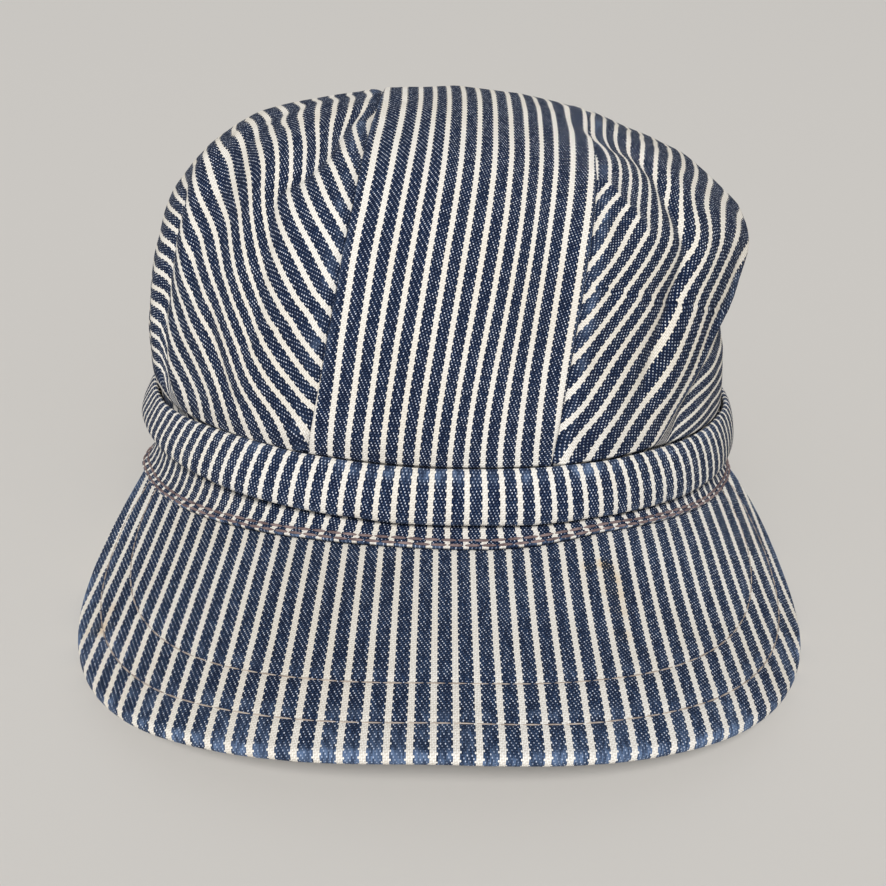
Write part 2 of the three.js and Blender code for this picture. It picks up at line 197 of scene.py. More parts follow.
# Stripe numbers of the centre strip: rows are fifths of the way up, columns are seven lines along
# the strip from its left edge to its right.
STRIP_STRIPES = np.array((
    (-0.45, 1.9, 4.25, 6.75, 9.3, 11.7, 13.95),
    (0.0, 2.2, 4.6, 7.05, 9.65, 12.15, 14.35),
    (0.3, 2.45, 4.75, 7.15, 9.55, 12.3, 14.5),
    (0.35, 2.45, 4.8, 7.2, 9.6, 12.25, 14.4),
    (0.5, 2.5, 5.0, 7.4, 9.8, 12.25, 14.2),
    (0.95, 2.9, 5.3, 7.65, 10.1, 12.5, 14.5),
))

# Old stains: places in the level cap's frame, half breadth in millimetres and strength.
STAINS = (
    ((-16.1, -78.3, 50.8), 1.2, 0.9),
    ((39.0, -97.8, -8.1), 2.0, 0.8),
    ((40.5, -101.5, -9.6), 2.6, 0.45),
    ((40.4, -106.0, -11.0), 3.0, 0.35),
    ((34.3, -99.5, -7.9), 1.6, 0.5),
    ((40.1, -111.5, -12.5), 3.0, 0.3),
    ((39.9, -119.0, -14.2), 2.4, 0.35),
    ((-78.9, -107.8, -23.8), 3.4, 0.4),
    ((-78.2, -101.5, -22.6), 2.2, 0.3),
)

# Slight waves: height and size in millimetres, and the seed of the noise.
CROWN_WAVES = ((0.55, 17, 1), (0.3, 8, 2))
BAND_WIDE_WAVES = ((1.0, 22, 3),)
BAND_FINE_WAVES = ((1.0, 7, 4),)
BAND_OUT_WAVES = ((0.3, 12, 5),)
RIM_UP_WAVES = ((0.12, 5, 6),)
RIM_OUT_WAVES = ((0.25, 9, 7),)
VISOR_WAVES = ((0.3, 26, 8), (0.08, 6, 9))
STAIN_WAVES = ((0.4, 2.2, 11),)

# A seam's section in millimetres: height, distance and breadth of the low ridge beside it, and
# depth, breadth and sharpness of the sunk line.
SIDE_SEAM = (0.35, 3.5, 2.2, 1.1, 1.1, 1.4)
STRIP_SEAM = (0.45, 1.2, 1.6, 1.3, 0.35, 1.5)

# The crown's tuck behind the band: its depth as a share of the way up, how far it draws in, how
# much less it does so at the sides, and the height over which it turns in, in millimetres.
TUCK_DEPTH = 0.036
TUCK_IN = 0.026
TUCK_IN_LESS = 0.019
TUCK_TURN = 0.8

# The band's section: out from its lower edge's ring and up, in millimetres, from the middle of its
# back over the round top, down the face and under.
BAND_LOOP = np.array((
    (-2.0, 5.0), (-2.1, 8.5), (-2.0, 10.6), (-1.45, 11.55), (-0.75, 11.75), (-0.15, 11.2),
    (0.15, 9.6), (0.25, 7.0), (0.3, 4.2), (0.35, 1.6), (0.25, 0.3), (-0.15, -0.25),
    (-0.75, 0.0), (-1.3, 1.1), (-1.8, 3.0), (-2.0, 5.0),
))

# Where the band departs from its plain ring: azimuth, breadth in degrees and millimetres.
BAND_LEFT_OUT = (-82, 42, 2.0)
BAND_GAPE = (-38, 22, 0.9)
BAND_SAG = (50, 35, 0.9)
# Pressed on the left: the foot goes up, and the top goes down and in.
BAND_PRESS = (-72, 24)
PRESS_FOOT_UP = 2.0
PRESS_TOP_DOWN = 1.6
PRESS_TOP_IN = 1.2

# The rim strip behind the band's free edge: how far in and how high, in millimetres.
RIM_BEHIND = ((1.2, 3.6), (1.4, 0.6))
# How much shorter the flange is on the right, as a share.
FLANGE_SHORTER = 0.42

# Shares along the visor's grid at which its top ends and its underside starts.
VISOR_TOP_ENDS = 0.44
VISOR_UNDER_STARTS = 0.56


# Reading tables and shaping curves

def signed_power(value, power):
    return np.sign(value) * np.abs(value) ** power


def smooth_step(value, low, high):
    share = np.clip((value - low) / (high - low), 0, 1)
    return share * share * (3 - 2 * share)


def bell(value, centre, breadth):
    """1 at the centre, and less on both sides of it."""
    return np.exp(-((value - centre) / breadth) ** 2)


def path_of(steps):
    """Distance from the start at each point of a line, from the lengths between its points."""
    return np.concatenate(([0], np.cumsum(steps)))


def blend_four(p0, p1, p2, p3, t):
    """Catmull-Rom between p1 and p2."""
    bend = 2 * p0 - 5 * p1 + 4 * p2 - p3 + t * (3 * (p1 - p2) + p3 - p0)
    return p1 + 0.5 * t * (p2 - p0 + t * bend)


def read_row(values, place):
    """A smooth reading of a row of numbers at places counted in its steps."""
    last = len(values) - 1
    place = np.clip(place, 0, last)
    low = np.minimum(place.astype(int), last - 1)
    corner = [values[np.clip(low + k, 0, last)] for k in (-1, 0, 1, 2)]
    return blend_four(*corner, place - low)


def read_table(table, row, column, mirrored):
    """A smooth reading of a table. It runs on straight past its edges, or mirrored past its last
    column."""
    rows, columns = table.shape
    wide = np.pad(table, ((1, 1), (1, 0)), "reflect", reflect_type="odd")
    last = "even" if mirrored else "odd"
    wide = np.pad(wide, ((0, 0), (0, 1)), "reflect", reflect_type=last)
    row = np.clip(row, 0, rows - 1)
    low_row = np.minimum(row.astype(int), rows - 2)
    low_column = np.clip(np.floor(column).astype(int), 0, columns - 2)
    lines = []
    for k in (0, 1, 2, 3):
        corner = [wide[low_row + k, low_column + m] for m in (0, 1, 2, 3)]
        lines.append(blend_four(*corner, column - low_column))
    return blend_four(*lines, row - low_row)


def section(name, v):
    steps = len(CROWN_SECTIONS) - 1
    return read_row(CROWN_SECTIONS[:, SECTION_COLUMNS.index(name)], np.clip(v, 0, 1) * steps)


# The crown's face

PER_DEGREE = math.radians((SEAM_HALF_WIDTH + SEAM_HALF_LENGTH) / 2)
WAY_UP = math.hypot(CROWN_HEIGHT, SEAM_HALF_LENGTH)


def turn_from(start, azimuth):
    return (azimuth - start + 540) % 360 - 180


def broad_shift(azimuth, v):
    """How far the broad folds move the cloth outward."""
    shift = np.zeros(np.shape(azimuth))
    for start, up, end, to_up, wide, deep, ledge in BROAD_FOLDS:
        run_x = turn_from(start, end) * PER_DEGREE
        run_y = (to_up - up) * WAY_UP
        x = turn_from(start, azimuth) * PER_DEGREE
        y = (v - up) * WAY_UP
        length = math.hypot(run_x, run_y)
        along = (x * run_x + y * run_y) / length ** 2
        across = (x * run_y - y * run_x) / length / wide
        past = np.maximum(0, np.maximum(-along, along - 1)) * length / wide
        ends = 0.35 + 0.65 * np.sin(math.pi * np.clip(along, 0, 1))
        bell = np.exp(-across ** 2 - past ** 2)
        shift -= deep * ends * bell * (2 * across if ledge else 1)
    return shift


def from_line(line, azimuth, v):
    """Distance from a line on the crown, the side it is on, and how near its middle it is."""
    corners = [(turn_from(0, a) * PER_DEGREE, up * WAY_UP) for a, up in line]
    total = sum(math.dist(p, q) for p, q in zip(corners, corners[1:]))
    x = turn_from(0, azimuth) * PER_DEGREE
    y = v * WAY_UP
    nearest = np.full(np.shape(azimuth), 1e9)
    side = np.zeros(np.shape(azimuth))
    place = np.zeros(np.shape(azimuth))
    before = 0.0
    for (x0, y0), (x1, y1) in zip(corners, corners[1:]):
        length = math.dist((x0, y0), (x1, y1))
        along = ((x - x0) * (x1 - x0) + (y - y0) * (y1 - y0)) / length ** 2
        inside = np.clip(along, 0, 1)
        far = np.hypot(x - x0 - inside * (x1 - x0), y - y0 - inside * (y1 - y0))
        cross = ((x - x0) * (y1 - y0) - (y - y0) * (x1 - x0)) / length
        closer = far < nearest
        nearest = np.where(closer, far, nearest)
        side = np.where(closer, np.sign(cross), side)
        place = np.where(closer, before + inside * length, place)
        before += length
    return nearest, side, np.sin(math.pi * np.clip(place / total, 0, 1)) ** 0.6


def crease_shift(azimuth, v):
    """How far the sharp creases move the cloth outward."""
    shift = np.zeros(np.shape(azimuth))
    for line, wide, deep, over, _ in CREASES:
        nearest, side, ends = from_line(line, azimuth, v)
        groove = np.exp(-(nearest / wide) ** 1.3)
        puff = bell(nearest, 2.6 * wide, 1.6 * wide)
        step = side * np.exp(-nearest / (2.2 * wide)) * smooth_step(nearest, 0, 0.8 * wide)
        shift += ends * (deep * (0.28 * puff - groove) - over * step)
    return shift


def crease_bend(azimuth, v):
    """How many stripes the pattern is moved by where it bends at the creases."""
    bent = np.zeros(np.shape(azimuth))
    for line, _, _, _, bend in CREASES:
        if bend:
            nearest, _, ends = from_line(line, azimuth, v)
            bent += bend * ends * (np.exp(-nearest / BEND_REACH) - 0.35)
    return bent


def fold_place(fold, round_it, v):
    """Distance past a side's hidden fold, the stripes it swallows and how deep the cloth sinks."""
    line, swallowed, sunk = [np.interp(v, FOLD_SHARES, row) for row in fold]
    return (round_it - line) * PER_DEGREE, swallowed, sunk


def crown_base(azimuth, v):
    turn = np.radians(azimuth)
    power = 2 / section("square", v)
    front, back = section("front", v), section("back", v)
    left, right = section("left", v), section("right", v)
    x = (right - left) / 2 + (left + right) / 2 * signed_power(np.sin(turn), power)
    y = (back - front) / 2 - (front + back) / 2 * signed_power(np.cos(turn), power)
    z = BAND_HEIGHT + CLEARANCE + section("rise", v) * CROWN_HEIGHT
    return np.stack((x * SEAM_HALF_WIDTH, y * SEAM_HALF_LENGTH, z), axis=-1)


def unit(vectors):
    return vectors / np.maximum(np.linalg.norm(vectors, axis=-1, keepdims=True), 1e-9)


def crown_normal(azimuth, v):
    step = 0.004
    low = np.clip(v - step, 0, 1 - 2 * step)
    up = crown_base(azimuth, low + 2 * step) - crown_base(azimuth, low)
    around = crown_base(azimuth + 1, low) - crown_base(azimuth - 1, low)
    return unit(np.cross(around, up))


def ripple(points, size, seed):
    """Smooth noise from -1 to 1 at points of the cap, with bumps of the given size."""
    flat = points.reshape(-1, 3) / size
    shift = Vector((seed * 7.3, seed * 3.1, seed * 5.7))
    values = [noise.noise(Vector(p) + shift) for p in flat]
    return np.array(values).reshape(points.shape[:-1])


def waves(points, table):
    """Slight waves, from a table of their heights, sizes and seeds."""
    return sum(height * ripple(points, size, seed) for height, size, seed in table)


def near_azimuth(azimuth, centre, breadth):
    return bell(turn_from(centre, azimuth), 0, breadth)


def seam_lift(beside, seam):
    """How far the cloth stands out at a distance beside a seam."""
    ridge, place, wide, deep, narrow, power = seam
    return ridge * bell(beside, place, wide) - deep * np.exp(-(beside / narrow) ** power)


def crown_face(azimuth, v, lift):
    """Points of the crown's face, lifted by the seams' own shape. Below v = 0 it is tucked in."""
    base = crown_base(azimuth, v)
    normal = crown_normal(azimuth, v)
    calm = smooth_step(v, 0.0, 0.12)
    behind = smooth_step(np.abs(turn_from(0, azimuth)), 70, 95)
    held = 1 - behind * (1 - smooth_step(v, -0.02, 0.1))
    shift = held * broad_shift(azimuth, v)
    shift = shift + calm * (crease_shift(azimuth, v) + waves(base, CROWN_WAVES)) + lift
    points = base + normal * shift[..., None]
    tuck = np.maximum(0, -v) * WAY_UP
    points[..., 2] -= tuck
    deep = TUCK_IN - TUCK_IN_LESS * np.sin(np.radians(azimuth)) ** 4
    inward = 1 - deep * (1 - np.exp(-tuck / TUCK_TURN))
    points[..., :2] *= inward[..., None]
    return points


def seam_azimuth(across, v):
    """Azimuth in the front half where the plane at a distance across the strip cuts the crown."""
    z = section("rise", v) * CROWN_HEIGHT + CLEARANCE
    x = (across + z * math.sin(STRIP_LEAN)) / math.cos(STRIP_LEAN) + STRIP_OFFSET
    left, right = section("left", v), section("right", v)
    share = (x / SEAM_HALF_WIDTH - (right - left) / 2) / np.maximum((left + right) / 2, 1e-6)
    return share, np.degrees(np.arcsin(signed_power(np.clip(share, -1, 1), section("square", v) / 2)))


def seam_top(across):
    """The share up at which that plane leaves the crown."""
    low, high = np.full(np.shape(across), 0.5), np.full(np.shape(across), 1.0)
    for _ in range(40):
        middle = (low + high) / 2
        inside = np.abs(seam_azimuth(across, middle)[0]) < 1
        low, high = np.where(inside, middle, low), np.where(inside, high, middle)
    return low


# Making cloth pieces from grids

def object_of(name, mesh):
    """Makes an object of a finished mesh and puts it into the scene."""
    data = bpy.data.meshes.new(name)
    mesh.to_mesh(data)
    mesh.free()
    data.shade_smooth()
    piece = bpy.data.objects.new(name, data)
    bpy.context.scene.collection.objects.link(piece)
    return piece


def turned(points):
    """From the level frame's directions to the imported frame's."""
    c, s = math.cos(REST_TILT), math.sin(REST_TILT)
    x, y, z = points[..., 0], points[..., 1], points[..., 2]
    return np.stack((x, c * y + s * z, -s * y + c * z), axis=-1)


def to_packed(points):
    """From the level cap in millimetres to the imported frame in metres."""
    return (turned(points) + REST_SHIFT) * METRE


def soil(points):
    """How stained each point of the level cap is, from 0 to 1."""
    stained = np.zeros(points.shape[:-1])
    ragged = waves(points, STAIN_WAVES)
    for place, wide, strength in STAINS:
        far = np.linalg.norm(points - np.array(place), axis=-1) / wide
        stained = np.maximum(stained, strength * np.clip(1.3 - far + ragged, 0, 1))
    return stained


def cloth_piece(name, columns, rows, shape, outward, thickness, merge=False):
    """A sheet from a flat grid. shape takes the grid's shares across and along and gives points in
    the level frame, the weave's two coordinates and how rubbed the cloth is. outward is a point
    that the cloth faces away from."""
    across, along = np.meshgrid(np.linspace(0, 1, columns + 1), np.linspace(0, 1, rows + 1))
    points, stripe, thread, rubbed = shape(across, along)
    soiled = soil(points)
    points = to_packed(points)
    mesh = bmesh.new()
    bmesh.ops.create_grid(mesh, x_segments=columns, y_segments=rows, size=0.5)
    weave = mesh.loops.layers.uv.new("cloth")
    signs = mesh.loops.layers.uv.new("signs")
    places = {}
    for vertex in mesh.verts:
        column = round((vertex.co.x + 0.5) * columns)
        row = round((vertex.co.y + 0.5) * rows)
        places[vertex] = (row, column)
    for face in mesh.faces:
        for loop in face.loops:
            row, column = places[loop.vert]
            loop[weave].uv = (stripe[row, column], thread[row, column])
            loop[signs].uv = (rubbed[row, column], soiled[row, column])
    for vertex, (row, column) in places.items():
        vertex.co = points[row, column]
    mesh.faces.ensure_lookup_table()
    middle = mesh.faces[len(mesh.faces) // 2]
    middle.normal_update()
    centre = Vector(to_packed(np.array(outward, float)))
    if (middle.calc_center_median() - centre).dot(middle.normal) < 0:
        bmesh.ops.reverse_faces(mesh, faces=mesh.faces)
    if merge:
        bmesh.ops.remove_doubles(mesh, verts=mesh.verts, dist=1e-6)
    piece = object_of(name, mesh)
    if thickness:
        wall = piece.modifiers.new("thickness", "SOLIDIFY")
        wall.thickness = thickness * METRE
        wall.offset = -1
        wall.use_even_offset = False
    return piece


def thread_lengths(points, stripe, start_column):
    """Distance along the stripes, in stripe widths: the smoothest one on the grid whose slope fits
    the stripes' own direction."""
    down, right = np.gradient(points, axis=0), np.gradient(points, axis=1)
    rise, step = np.gradient(stripe, axis=0), np.gradient(stripe, axis=1)
    e, g = (right * right).sum(-1), (down * down).sum(-1)
    f = (right * down).sum(-1)
    area = np.maximum(e * g - f * f, 1e-9)
    a = (g * step - f * rise) / area
    b = (e * rise - f * step) / area
    slope = unit(right * a[..., None] + down * b[..., None])
    normal = unit(np.cross(right, down))
    inside = (normal * (points - points.mean((0, 1)))).sum(-1, keepdims=True)
    lay = np.cross(normal * np.sign(inside), slope)
    by_row = (lay * down).sum(-1) / STRIPE
    by_column = (lay * right).sum(-1) / STRIPE
    row_goal = (by_row[1:] + by_row[:-1]) / 2
    column_goal = (by_column[:, 1:] + by_column[:, :-1]) / 2
    row_weight = 1 / np.maximum((g[1:] + g[:-1]) / 2, 1e-3)
    column_weight = 1 / np.maximum((e[:, 1:] + e[:, :-1]) / 2, 1e-3)

    def gather(row_part, column_part):
        total = np.zeros(stripe.shape)
        total[1:] += row_part
        total[:-1] -= row_part
        total[:, 1:] += column_part
        total[:, :-1] -= column_part
        return total

    def spread(lengths):
        by_rows = row_weight * np.diff(lengths, axis=0)
        return gather(by_rows, column_weight * np.diff(lengths, axis=1))

    scale = gather(0, 0) + 1e-6
    scale[1:] += row_weight
    scale[:-1] += row_weight
    scale[:, 1:] += column_weight
    scale[:, :-1] += column_weight
    lengths = np.cumsum(by_column, axis=1)
    lengths -= lengths[:, start_column:start_column + 1]
    rest = gather(row_weight * row_goal, column_weight * column_goal) - spread(lengths)
    eased = rest / scale
    aim = eased.copy()
    size = (rest * eased).sum()
    for _ in range(600):
        pull = spread(aim)
        move = size / (aim * pull).sum()
        lengths = lengths + move * aim
        rest = rest - move * pull
        eased = rest / scale
        new_size = (rest * eased).sum()
        aim = eased + new_size / size * aim
        size = new_size
        if size < 1e-9:
            break
    return lengths


def crowd_ends(share, strength):
    """Shares from 0 to 1, closer together at both ends."""
    return share - strength * np.sin(2 * math.pi * share) / (2 * math.pi)


TUCK_ROWS = 0.03


def rise_with_tuck(along, top):
    """Share up the crown along a grid: a short tuck behind the band, and then up to the top."""
    up = np.clip((along - TUCK_ROWS) / (1 - TUCK_ROWS), 0, 1)
    tuck = np.clip(1 - along / TUCK_ROWS, 0, 1)
    return top * np.sin(up * math.pi / 2) - TUCK_DEPTH * tuck


def side_shape(side, table, fold):
    """The leaf-shaped cloth left (-1) or right (1) of the strip."""
    edge = side * STRIP_HALF
    top = float(seam_top(np.array(edge))) - 1e-5

    def shape(across, along):
        v = rise_with_tuck(along, top)
        front = seam_azimuth(edge, np.maximum(v, 0))[1]
        back = side * 180 - front
        azimuth = front + (back - front) * crowd_ends(across, 0.78)
        base = crown_base(azimuth, v)
        x = (base[..., 0] - STRIP_OFFSET) * math.cos(STRIP_LEAN)
        x -= (base[..., 2] - BAND_HEIGHT) * math.sin(STRIP_LEAN)
        beside = np.maximum(0, side * x - STRIP_HALF)
        lift = seam_lift(beside, SIDE_SEAM)
        round_it = np.abs((azimuth + 180) % 360 - 180)
        past, swallowed, sunk = fold_place(fold, round_it, v)
        inside = smooth_step(past, -0.6, 2.6) * (1 - smooth_step(round_it, 95, 135))
        lip = bell(past, -2.4, 2.2)
        lift = lift + 0.22 * sunk * lip - sunk * inside
        points = crown_face(azimuth, v, lift)
        from_end = np.minimum(round_it, 180 - round_it)
        stripe = read_table(table, v * 8, np.maximum(from_end / 10 - 2, -0.6), True)
        past = fold_place(fold, from_end, v)[0]
        stripe = stripe + crease_bend(azimuth, v) - swallowed * smooth_step(past, -4, 4)
        thread = thread_lengths(points, stripe, across.shape[1] // 2)
        rubbed = 0.4 * bell(beside, 2.2, 1.4) + 0.6 * lip * np.clip(sunk / 4, 0, 1)
        return points, stripe, thread, rubbed

    return shape


def strip_shape(across, along):
    """The centre strip, from the band in front over the top to the band behind."""
    place = crowd_ends(across, 0.6) * 2 - 1
    edge = np.clip(place, -1, 1) * STRIP_HALF
    half = 1 - np.abs(along * 2 - 1)
    top = seam_top(edge[0])[None, :] - 1e-5
    v = rise_with_tuck(half, top)
    front = seam_azimuth(edge, np.maximum(v, 0))[1]
    azimuth = np.where(along <= 0.5, front, 180 - front)
    inset = STRIP_HALF - np.abs(edge)
    lift = seam_lift(inset, STRIP_SEAM)
    points = crown_face(azimuth, v, lift)
    shown = np.where(along <= 0.5, v, top)
    stripe = read_table(STRIP_STRIPES, shown * 5, (place + 1) * 3, False)
    middle = points[:, across.shape[1] // 2]
    step = np.linalg.norm(np.diff(middle, axis=0), axis=-1)
    thread = path_of(step)[:, None] / STRIPE + 0 * across
    rubbed = 0.35 * bell(inset, 0.7, 0.7)
    return points, stripe, thread, rubbed


# Rings: the band and the rim strip

def ring_point(azimuth, grow, z):
    turn = np.radians(azimuth)
    x = (BAND_HALF_WIDTH + grow) * np.sin(turn)
    y = -(BAND_HALF_LENGTH + grow) * np.cos(turn)
    return np.stack((x, y, z + 0 * x), axis=-1)


RING_TURNS = np.linspace(-180, 180, 1441)
RING_STEPS = np.linalg.norm(np.diff(ring_point(RING_TURNS, 0, 0), axis=0), axis=-1)
RING_LENGTH = path_of(RING_STEPS)
BAND_PHASE = 6.797


def left_out(azimuth):
    """How far the band stands out on the left, under the sagging crown."""
    centre, breadth, far = BAND_LEFT_OUT
    return far * near_azimuth(azimuth, centre, breadth)


def ring_stripe(azimuth):
    """Stripe number on the band, counted along its lower edge from the front."""
    return (np.interp(azimuth, RING_TURNS, RING_LENGTH) - RING_LENGTH[720]) / STRIPE + BAND_PHASE


def band_face(z):
    return -BAND_DRAW_IN * np.clip(z / BAND_HEIGHT, 0, 1) ** 2


def band_shape(across, along):
    """A fold of cloth: up behind, over a round top, down the face and under at a free edge."""
    azimuth = across * 360 - 180
    place = along * (len(BAND_LOOP) - 1)
    grow = read_row(BAND_LOOP[:, 0], place)
    z = read_row(BAND_LOOP[:, 1], place)
    rough = ring_point(azimuth, 0, z)
    wave = waves(rough, BAND_WIDE_WAVES)
    fine = waves(rough, BAND_FINE_WAVES)
    low = 1 - smooth_step(z, 0, BAND_HEIGHT)
    z = z + low * (0.45 * wave + 0.15 * fine) + (1 - low) * (0.3 * wave + 0.1 * fine)
    pressed = near_azimuth(azimuth, *BAND_PRESS)
    z = z + pressed * (PRESS_FOOT_UP * low - PRESS_TOP_DOWN * (1 - low))
    centre, breadth, far = BAND_SAG
    z = z - far * low * near_azimuth(azimuth, centre, breadth)
    sides = np.sin(np.radians(azimuth)) ** 4
    grow = grow + band_face(z) * (1 - 0.55 * sides) + left_out(azimuth)
    grow = grow - PRESS_TOP_IN * pressed * (1 - low)
    centre, breadth, far = BAND_GAPE
    grow = grow + far * low * near_azimuth(azimuth, centre, breadth)
    grow = grow + waves(rough, BAND_OUT_WAVES) + 0.12 * fine
    points = ring_point(azimuth, grow, z)
    path = path_of(np.hypot(*np.diff(BAND_LOOP, axis=0).T))
    thread = -read_row(path, place) / STRIPE
    front = near_azimuth(azimuth, 6, 34)
    rubbed = bell(z, 11.2, 1.5) * (0.2 + 0.8 * front) + 0.3 * bell(z, 0, 0.8)
    return points, ring_stripe(azimuth), thread, rubbed


def visor_point(side, ahead, lift):
    """A point of the bent board. Its right half stands a little higher by the root."""
    bend = side / VISOR_BEND
    x = (VISOR_BEND + lift) * np.sin(bend)
    up = (VISOR_BEND + lift) * np.cos(bend) - VISOR_BEND
    y = -BAND_HALF_LENGTH - up * math.sin(VISOR_PITCH) - ahead * math.cos(VISOR_PITCH)
    z = -VISOR_DROP + up * math.cos(VISOR_PITCH) - ahead * math.sin(VISOR_PITCH)
    out = (np.hypot(x / BAND_HALF_WIDTH, y / BAND_HALF_LENGTH) - 1) * BAND_HALF_WIDTH
    near_root = bell(np.maximum(out, 0), 0, VISOR_RAISE_FADE)
    z = z + VISOR_RAISE * smooth_step(x, 8, 45) * near_root
    return np.stack((x, y, z), axis=-1)


def visor_place(x, y):
    """The board's flat side and ahead at a point given from above."""
    side = VISOR_BEND * np.arcsin(np.clip(x / VISOR_BEND, -1, 1))
    drop = VISOR_BEND * (1 - np.cos(side / VISOR_BEND))
    ahead = (drop * math.sin(VISOR_PITCH) - BAND_HALF_LENGTH - y) / math.cos(VISOR_PITCH)
    return side, ahead


def visor_edge(share):
    """Side and ahead of the visor's edge at a share from the middle, -1 left to 1 right."""
    turn = math.radians(VISOR_EDGE_SWEEP) * share
    power = 2 / VISOR_CORNER
    widest = -VISOR_WIDEST_SHARE * BAND_HALF_LENGTH
    end = abs(math.cos(math.radians(VISOR_EDGE_SWEEP))) ** power
    back_reach = (VISOR_END_SHARE - VISOR_WIDEST_SHARE) * BAND_HALF_LENGTH / end
    reach = np.where(np.cos(turn) > 0, VISOR_LENGTH - VISOR_ROLL - widest, back_reach)
    ahead = widest + reach * signed_power(np.cos(turn), power)
    skew = VISOR_SKEW * (ahead - VISOR_SKEW_SHARE * VISOR_LENGTH) * (1 - share ** 4)
    half = BAND_HALF_WIDTH + VISOR_OVERHANG
    return half * signed_power(np.sin(turn), power) - skew, ahead


def from_front(azimuth):
    return np.abs((azimuth + 180) % 360 - 180)


def over_visor(azimuth):
    return 1 - smooth_step(from_front(azimuth), VISOR_SWEEP - 4, VISOR_SWEEP + 6)


def rim_foot(azimuth, grow):
    p = ring_point(azimuth, grow, 0)
    side, ahead = visor_place(p[..., 0], p[..., 1])
    height = visor_point(side, ahead, 0)[..., 2] + CLEARANCE
    past = smooth_step(from_front(azimuth), VISOR_SWEEP + 5, VISOR_SWEEP + 30)
    return height + (-RIM_DROP - height) * past


def rim_face(azimuth, place):
    """The rim strip's outer face, from its hidden top (place 0) to its lower edge (place 1)."""
    outside = -BAND_THICKNESS - CLEARANCE
    top = BAND_HEIGHT - CROWN_LAP - CLEARANCE
    short = 1 - FLANGE_SHORTER * smooth_step(azimuth, 8, 45)
    reach = RIM_HEM + (FLANGE_REACH * short - RIM_HEM) * over_visor(azimuth)
    flare = rim_foot(azimuth, outside + reach * 0.5) + FLANGE_THICKNESS * 1.7
    foot = rim_foot(azimuth, outside + reach) + FLANGE_THICKNESS * 1.0
    out = 0.9 * left_out(azimuth)
    (in_high, high), (in_low, low_knot) = RIM_BEHIND
    knots = [
        (outside + band_face(top) + out, top + 0 * azimuth),
        (outside - in_high + out, high + 0 * azimuth),
        (outside - in_low + out * 0.7, low_knot + 0 * azimuth),
        (outside - 0.6 + reach * 0.2, flare * 0.5),
        (outside + reach * 0.5, flare),
        (outside + reach, foot),
    ]
    grow = np.zeros(azimuth.shape)
    z = np.zeros(azimuth.shape)
    last = len(knots) - 1
    at = np.clip(place, 0, 1) * last
    low = np.minimum(at.astype(int), last - 1)
    for k in range(last):
        four = [knots[min(max(k + m, 0), last)] for m in (-1, 0, 1, 2)]
        here = low == k
        grow = np.where(here, blend_four(*[p[0] for p in four], at - k), grow)
        z = np.where(here, blend_four(*[p[1] for p in four], at - k), z)
    rough = ring_point(azimuth, grow, z)
    shown = smooth_step(place, 0.45, 0.7)
    z = z + shown * waves(rough, RIM_UP_WAVES)
    grow = grow + shown * over_visor(azimuth) * waves(rough, RIM_OUT_WAVES)
    return grow, z


def rim_shape(across, along):
    azimuth = across * 360 - 180
    grow, z = rim_face(azimuth, along)
    points = ring_point(azimuth, grow, z)
    step = np.linalg.norm(np.diff(points, axis=0), axis=-1)
    path = np.concatenate((np.zeros((1, across.shape[1])), np.cumsum(step, axis=0)))
    rubbed = 0.8 * smooth_step(along, 0.9, 1.0)
    return points, ring_stripe(azimuth), -path / STRIPE, rubbed


# The visor

VISOR_ROWS = (19.4, 8.6)


def visor_line(share):
    """Root and edge of the visor at a share from the middle, -1 left to 1 right."""
    inside = -BAND_THICKNESS - CLEARANCE - RIM_WALL
    sewn = ring_point(share * VISOR_SWEEP, inside, 0)
    root = visor_place(sewn[..., 0], sewn[..., 1])
    return root, visor_edge(share)


def visor_top(share, inward):
    """Side and ahead of a point at a distance in from the edge, towards the root."""
    (root_side, root_ahead), (edge_side, edge_ahead) = visor_line(share)
    run = np.hypot(edge_side - root_side, edge_ahead - root_ahead)
    t = 1 - np.minimum(inward / run, 1)
    return root_side + (edge_side - root_side) * t, root_ahead + (edge_ahead - root_ahead) * t, run


def visor_lift(inward):
    """The padding's relief: sunk along the stitching, full between the rows."""
    lift = 0.0
    for row in VISOR_ROWS:
        lift = lift - 0.35 * bell(inward, row, 0.9)
        lift = lift + 0.12 * bell(inward, row, 3.5)
    return lift


def visor_waves(side, ahead):
    """The board's own slight waves."""
    return waves(visor_point(side, ahead, 0), VISOR_WAVES)


